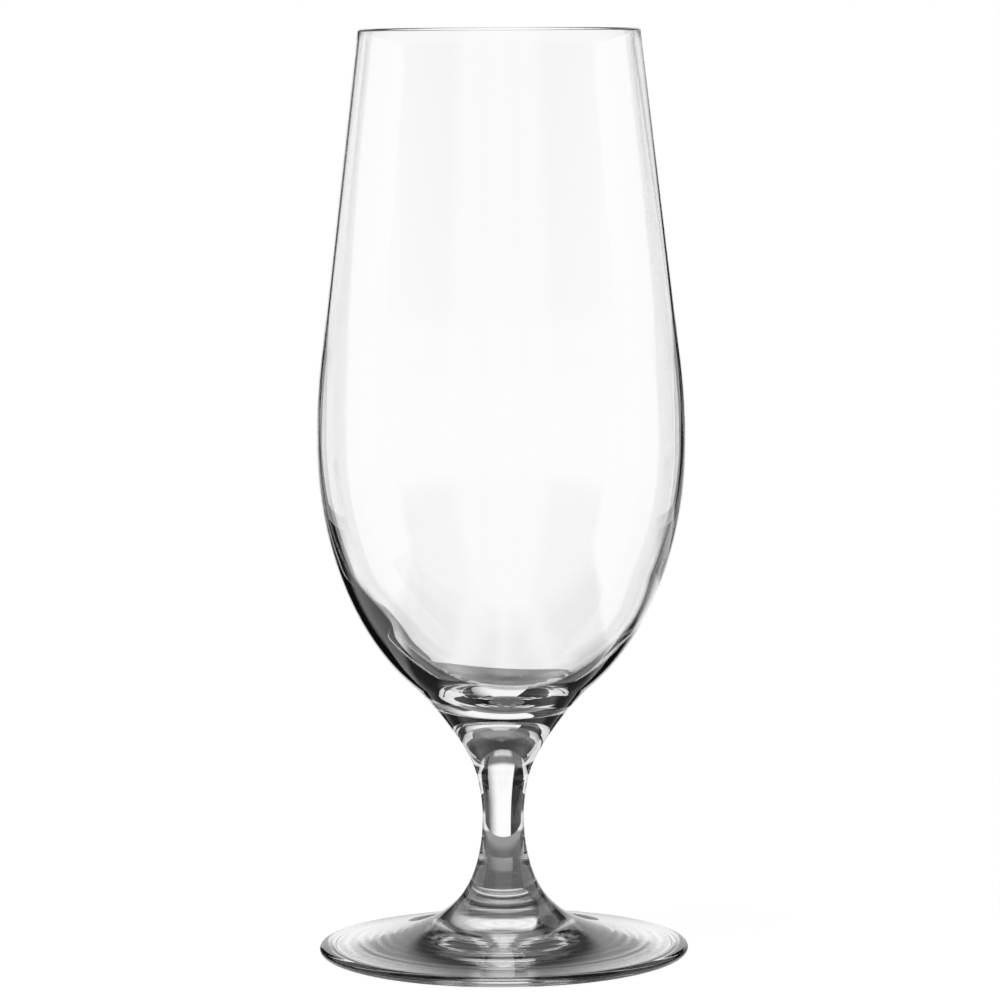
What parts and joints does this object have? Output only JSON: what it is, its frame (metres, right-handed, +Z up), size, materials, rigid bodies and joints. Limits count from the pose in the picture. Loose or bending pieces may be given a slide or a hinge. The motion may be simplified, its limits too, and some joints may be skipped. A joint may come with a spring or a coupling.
{
  "type": "stemmed beer glass",
  "caption": "Clear stemmed beer glass: tall tulip bowl that narrows to a thin lip, a short waisted stem and a round spreading foot.",
  "frame": {"origin": "centre of the foot's underside, on the surface that the glass stands on", "axes": "+Z up along the stem, the axis that all three pieces are turned about"},
  "size_m": [0.074, 0.074, 0.185],
  "materials": {
    "bowl_glass": "clear blown glass, fire-polished lip",
    "stem_glass": "clear drawn glass, fire-polished",
    "foot_glass": "clear pressed glass, fire-polished"
  },
  "bodies": {
    "root": {"bowl": "bowl_glass", "stem": "stem_glass", "foot": "foot_glass"}
  },
  "joints": []
}
